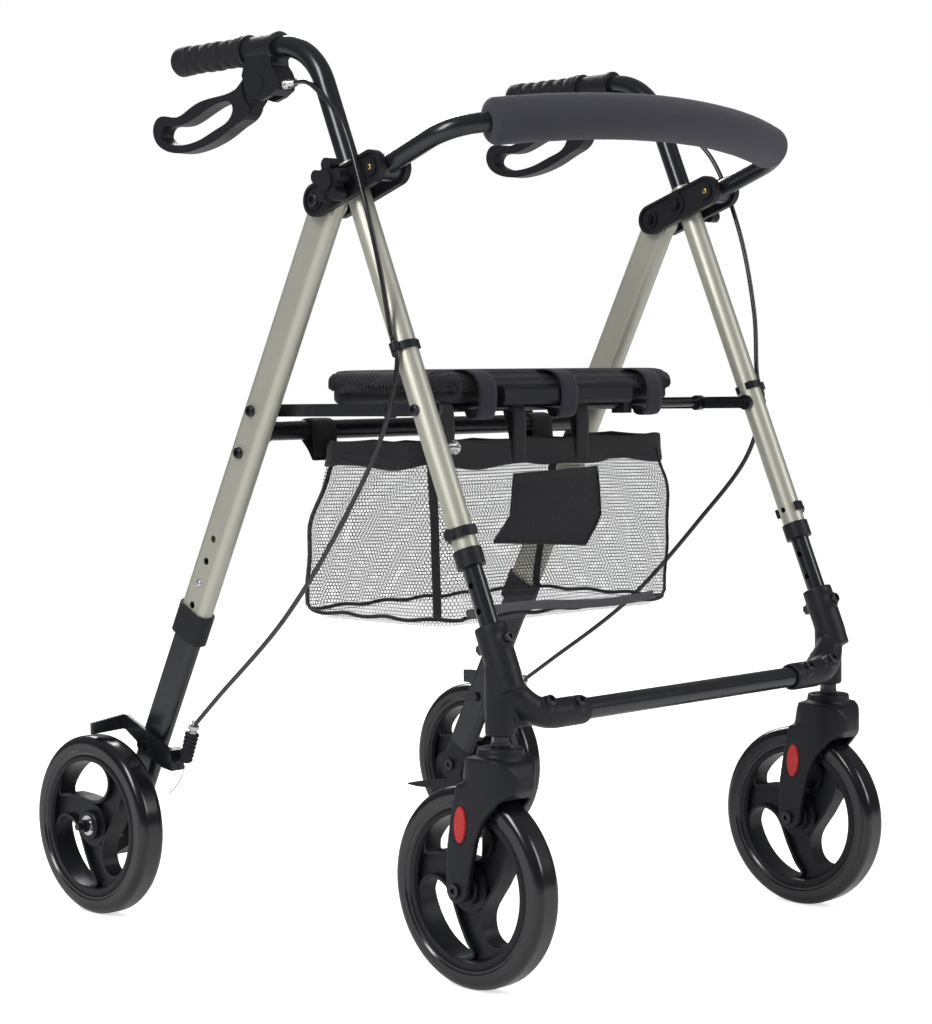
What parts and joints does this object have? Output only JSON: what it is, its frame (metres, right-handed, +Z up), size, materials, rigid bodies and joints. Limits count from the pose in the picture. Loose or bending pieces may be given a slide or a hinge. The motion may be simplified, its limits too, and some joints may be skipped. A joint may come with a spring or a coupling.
{
  "type": "rollator walker",
  "caption": "Folding rollator walker with swivelling front casters, fixed rear wheels, hand brakes, a padded seat, a mesh basket and a foam backrest bar.",
  "frame": {"origin": "on the floor, at the centre of the walker's footprint, midway between left and right and between the front and rear wheels", "axes": "+Z up, -Y the walking direction, +X the user's left"},
  "size_m": [0.668, 0.7538, 0.9562],
  "materials": {
    "leg_paint": "satin metallic",
    "black_metal": "satin",
    "black_plastic": "fine moulded texture",
    "bolt_steel": "blackened",
    "button_silver": "polished",
    "pin_brass": "polished",
    "grip_rubber": "matte",
    "foam": "soft foam",
    "tyre": "smooth gloss",
    "rim": "semi-gloss",
    "reflector": "prismatic",
    "cable_sheath": "smooth",
    "mesh_fabric": "open mesh",
    "seat_fabric": "ribbed spacer mesh",
    "webbing": "woven",
    "wire_steel": "drawn wire"
  },
  "bodies": {
    "front_frame": {"front_legs": "leg_paint", "hinge_plates": "black_plastic", "front_leg_collars": "black_plastic", "frame_bolts": "bolt_steel", "cable_clips": "black_plastic", "brake_cables": "cable_sheath"},
    "front_lower": {"front_inner_tubes": "black_metal", "front_castings": "black_plastic", "front_cross_tube": "black_metal", "casting_bolts": "bolt_steel"},
    "rear_frame": {"rear_legs": "leg_paint", "rear_cross_tube": "black_metal", "rear_collars": "black_plastic", "rear_frame_bolts": "bolt_steel", "basket": "mesh_fabric"},
    "seat": {"seat_side_bars": "black_metal", "seat_rods": "black_metal", "seat_frame": "black_plastic", "seat_pad": "seat_fabric"},
    "front_links": {"front_links": "black_metal"},
    "backrest": {"backrest_tube": "black_metal", "backrest_foam": "foam"},
    "leg_pin_right": {"leg_pin_right": "black_plastic"},
    "caster_right": {"caster_fork_right": "black_plastic", "caster_bolts_right": "bolt_steel", "fork_reflectors_right": "reflector"},
    "front_wheel_right": {"front_tyre_right": "tyre", "front_rim_right": "rim"},
    "leg_button_right": {"leg_button_right": "button_silver"},
    "rear_lower_right": {"rear_inner_tube_right": "black_metal", "rear_foot_right": "black_plastic", "rear_bolts_right": "bolt_steel"},
    "rear_wheel_right": {"rear_tyre_right": "tyre", "rear_rim_right": "rim"},
    "brake_arm_right": {"brake_arm_right": "black_metal"},
    "handle_right": {"handle_tube_right": "black_metal", "handle_grip_right": "grip_rubber", "brake_housing_right": "black_plastic"},
    "brake_lever_right": {"brake_lever_right": "black_plastic"},
    "clamp_knob_right": {"star_knob_right": "black_plastic"},
    "backrest_pin_right": {"backrest_pin_right": "pin_brass"},
    "leg_pin_left": {"leg_pin_left": "black_plastic"},
    "caster_left": {"caster_fork_left": "black_plastic", "caster_bolts_left": "bolt_steel", "fork_reflectors_left": "reflector"},
    "front_wheel_left": {"front_tyre_left": "tyre", "front_rim_left": "rim"},
    "leg_button_left": {"leg_button_left": "button_silver"},
    "rear_lower_left": {"rear_inner_tube_left": "black_metal", "rear_foot_left": "black_plastic", "rear_bolts_left": "bolt_steel"},
    "rear_wheel_left": {"rear_tyre_left": "tyre", "rear_rim_left": "rim"},
    "brake_arm_left": {"brake_arm_left": "black_metal"},
    "handle_left": {"handle_tube_left": "black_metal", "handle_grip_left": "grip_rubber", "brake_housing_left": "black_plastic"},
    "brake_lever_left": {"brake_lever_left": "black_plastic"},
    "clamp_knob_left": {"star_knob_left": "black_plastic"},
    "backrest_pin_left": {"backrest_pin_left": "pin_brass"}
  },
  "joints": [
    {"name": "fold", "type": "hinge", "parent": "front_frame", "child": "rear_frame", "pos_m": [0, -0.0759, 0.776], "axis": [-1, 0, 0], "range_deg": [0, 30], "deforming": ["brake_cables"]},
    {"name": "seat_tilt", "type": "hinge", "parent": "rear_frame", "child": "seat", "pos_m": [0, 0.0412, 0.5624], "axis": [-1, 0, 0], "range_deg": [-1.6, 0]},
    {"name": "link_swing", "type": "hinge", "parent": "front_frame", "child": "front_links", "pos_m": [0, -0.2108, 0.5637], "axis": [1, 0, 0], "range_deg": [0, 122]},
    {"name": "front_height", "type": "slide", "parent": "front_frame", "child": "front_lower", "axis": [0, 0.3872, 0.922], "range_m": [-0.0265, 0.053]},
    {"name": "backrest_fold", "type": "hinge", "parent": "front_frame", "child": "backrest", "pos_m": [0, -0.1582, 0.8041], "axis": [1, 0, 0], "range_deg": [0, 60]},
    {"name": "leg_pin_right_pull", "type": "slide", "parent": "front_frame", "child": "leg_pin_right", "axis": [-1, 0, 0], "range_m": [0, 0.012]},
    {"name": "caster_right_swivel", "type": "hinge", "parent": "front_lower", "child": "caster_right", "pos_m": [-0.262, -0.3124, 0.23], "axis": [0, 0, 1], "continuous": true},
    {"name": "front_wheel_right_spin", "type": "hinge", "parent": "caster_right", "child": "front_wheel_right", "pos_m": [-0.262, -0.2769, 0.1], "axis": [1, 0, 0], "continuous": true},
    {"name": "rear_height_right", "type": "slide", "parent": "rear_frame", "child": "rear_lower_right", "axis": [0, -0.4627, 0.8865], "range_m": [-0.0275, 0.055]},
    {"name": "leg_button_right_press", "type": "slide", "parent": "rear_frame", "child": "leg_button_right", "axis": [1, 0, 0], "range_m": [0, 0.0024]},
    {"name": "rear_wheel_right_spin", "type": "hinge", "parent": "rear_lower_right", "child": "rear_wheel_right", "pos_m": [-0.3027, 0.2769, 0.1], "axis": [1, 0, 0], "continuous": true},
    {"name": "brake_arm_right_press", "type": "hinge", "parent": "rear_lower_right", "child": "brake_arm_right", "pos_m": [-0.2737, 0.2296, 0.191], "axis": [-1, 0, 0], "range_deg": [0, 3.8]},
    {"name": "handle_right_height", "type": "slide", "parent": "front_frame", "child": "handle_right", "axis": [0, 0.3872, 0.922], "range_m": [-0.075, 0.025]},
    {"name": "brake_lever_right_squeeze", "type": "hinge", "parent": "handle_right", "child": "brake_lever_right", "pos_m": [-0.26, 0.022, 0.9025], "axis": [1, 0, 0], "range_deg": [0, 12], "stiffness_Nm_per_rad": 2},
    {"name": "clamp_knob_right_turn", "type": "hinge", "parent": "front_frame", "child": "clamp_knob_right", "pos_m": [-0.29, -0.11494, 0.792], "axis": [1, 0, 0], "continuous": true},
    {"name": "backrest_pin_right_press", "type": "slide", "parent": "front_frame", "child": "backrest_pin_right", "axis": [1, 0, 0], "range_m": [0, 0.003]},
    {"name": "leg_pin_left_pull", "type": "slide", "parent": "front_frame", "child": "leg_pin_left", "axis": [1, 0, 0], "range_m": [0, 0.012]},
    {"name": "caster_left_swivel", "type": "hinge", "parent": "front_lower", "child": "caster_left", "pos_m": [0.262, -0.3124, 0.23], "axis": [0, 0, 1], "continuous": true},
    {"name": "front_wheel_left_spin", "type": "hinge", "parent": "caster_left", "child": "front_wheel_left", "pos_m": [0.262, -0.2769, 0.1], "axis": [1, 0, 0], "continuous": true},
    {"name": "rear_height_left", "type": "slide", "parent": "rear_frame", "child": "rear_lower_left", "axis": [0, -0.4627, 0.8865], "range_m": [-0.0275, 0.055]},
    {"name": "leg_button_left_press", "type": "slide", "parent": "rear_frame", "child": "leg_button_left", "axis": [-1, 0, 0], "range_m": [0, 0.0024]},
    {"name": "rear_wheel_left_spin", "type": "hinge", "parent": "rear_lower_left", "child": "rear_wheel_left", "pos_m": [0.3027, 0.2769, 0.1], "axis": [1, 0, 0], "continuous": true},
    {"name": "brake_arm_left_press", "type": "hinge", "parent": "rear_lower_left", "child": "brake_arm_left", "pos_m": [0.2737, 0.2296, 0.191], "axis": [-1, 0, 0], "range_deg": [0, 3.8]},
    {"name": "handle_left_height", "type": "slide", "parent": "front_frame", "child": "handle_left", "axis": [0, 0.3872, 0.922], "range_m": [-0.075, 0.025]},
    {"name": "brake_lever_left_squeeze", "type": "hinge", "parent": "handle_left", "child": "brake_lever_left", "pos_m": [0.26, 0.022, 0.9025], "axis": [1, 0, 0], "range_deg": [0, 12], "stiffness_Nm_per_rad": 2},
    {"name": "clamp_knob_left_turn", "type": "hinge", "parent": "front_frame", "child": "clamp_knob_left", "pos_m": [0.29, -0.11494, 0.792], "axis": [1, 0, 0], "continuous": true},
    {"name": "backrest_pin_left_press", "type": "slide", "parent": "front_frame", "child": "backrest_pin_left", "axis": [-1, 0, 0], "range_m": [0, 0.003]}
  ],
  "couplings": [
    {"joint": "seat_tilt", "follows": "fold", "ratio": -0.05},
    {"joint": "link_swing", "follows": "fold", "ratio": 4.06},
    {"joint": "brake_arm_right_press", "follows": "brake_lever_right_squeeze", "ratio": 0.3},
    {"joint": "brake_arm_left_press", "follows": "brake_lever_left_squeeze", "ratio": 0.3}
  ]
}
